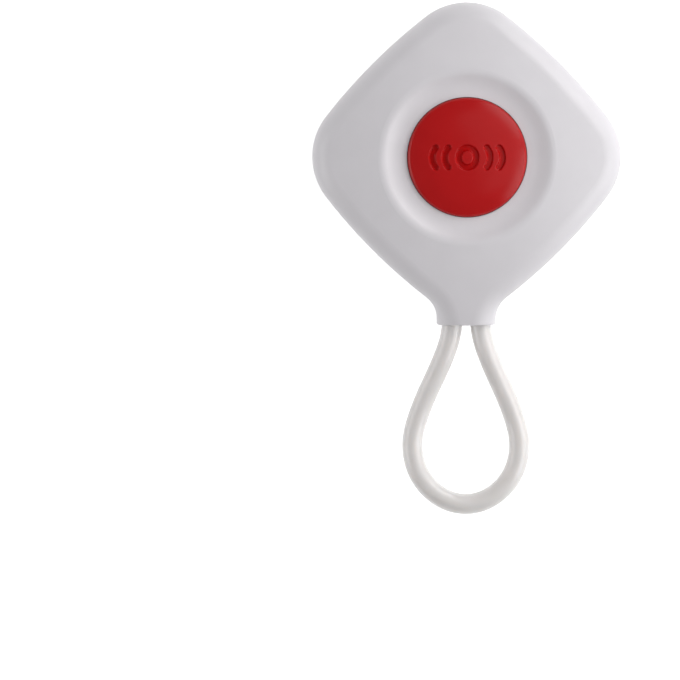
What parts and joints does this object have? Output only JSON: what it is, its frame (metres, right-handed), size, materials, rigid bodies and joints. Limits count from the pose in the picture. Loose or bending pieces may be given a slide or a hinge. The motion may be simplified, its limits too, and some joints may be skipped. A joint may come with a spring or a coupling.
{
  "type": "wireless panic button",
  "caption": "Pocket alarm transmitter: a rounded square pebble on its corner, with a large red push button in a shallow round dish and a soft cord loop at its neck.",
  "frame": {"origin": "the point where the button's axis meets the flat back", "axes": "+Z out of the button, square to the flat back; +Y from the button to the corner opposite the neck; the neck and the cord loop point along -Y"},
  "size_m": [0.06, 0.0998, 0.0139],
  "materials": {
    "white_abs": "fine satin moulded plastic with a soft gloss",
    "red_abs": "high gloss moulded plastic",
    "white_silicone": "satin extruded silicone",
    "grey_silicone": "soft matt silicone",
    "green_laminate": "green solder mask on glass laminate",
    "copper": "gold flashed copper track",
    "cell_steel": "nickel plated steel",
    "black_nylon": "matt moulded nylon",
    "spring_steel": "bright strip steel",
    "black_foam": "closed cell foam",
    "tinned_metal": "tin plated",
    "black_epoxy": "matt moulding compound",
    "tan_ceramic": "fired ceramic with tinned ends",
    "black_ceramic": "glazed ceramic with tinned ends",
    "screw_steel": "zinc plated steel",
    "crimp_aluminium": "tumbled aluminium"
  },
  "bodies": {
    "housing": {"front_cover": "white_abs", "back_cover": "white_abs", "cover_screws": "screw_steel", "lanyard_cord": "white_silicone", "housing_seal": "grey_silicone", "return_diaphragm": "grey_silicone", "circuit_board": "green_laminate", "loop_antenna": "copper", "battery_cell": "cell_steel", "battery_holder": "black_nylon", "battery_positive_clip": "spring_steel", "battery_negative_contact": "spring_steel", "battery_pad": "black_foam", "switch_base": "black_nylon", "switch_top_plate": "spring_steel", "switch_snap_disc": "spring_steel", "switch_terminals": "tinned_metal", "encoder_chip": "black_epoxy", "encoder_leads": "tinned_metal", "saw_resonator": "cell_steel", "transmitter_transistor": "black_epoxy", "chip_capacitors": "tan_ceramic", "chip_resistors": "black_ceramic", "cord_ferrule": "crimp_aluminium"},
    "button": {"button_cap": "red_abs"},
    "plunger": {"switch_plunger": "black_nylon"}
  },
  "joints": [
    {"name": "button_press", "type": "slide", "parent": "housing", "child": "button", "axis": [0, 0, -1], "range_m": [0, 0.0004], "stiffness_N_per_m": 4000, "springref_m": -0.0002, "deforming": ["return_diaphragm"]},
    {"name": "switch_press", "type": "slide", "parent": "housing", "child": "plunger", "axis": [0, 0, -1], "range_m": [0, 0.0004], "deforming": ["switch_snap_disc"]}
  ],
  "couplings": [
    {"joint": "switch_press", "follows": "button_press", "ratio": 1}
  ]
}
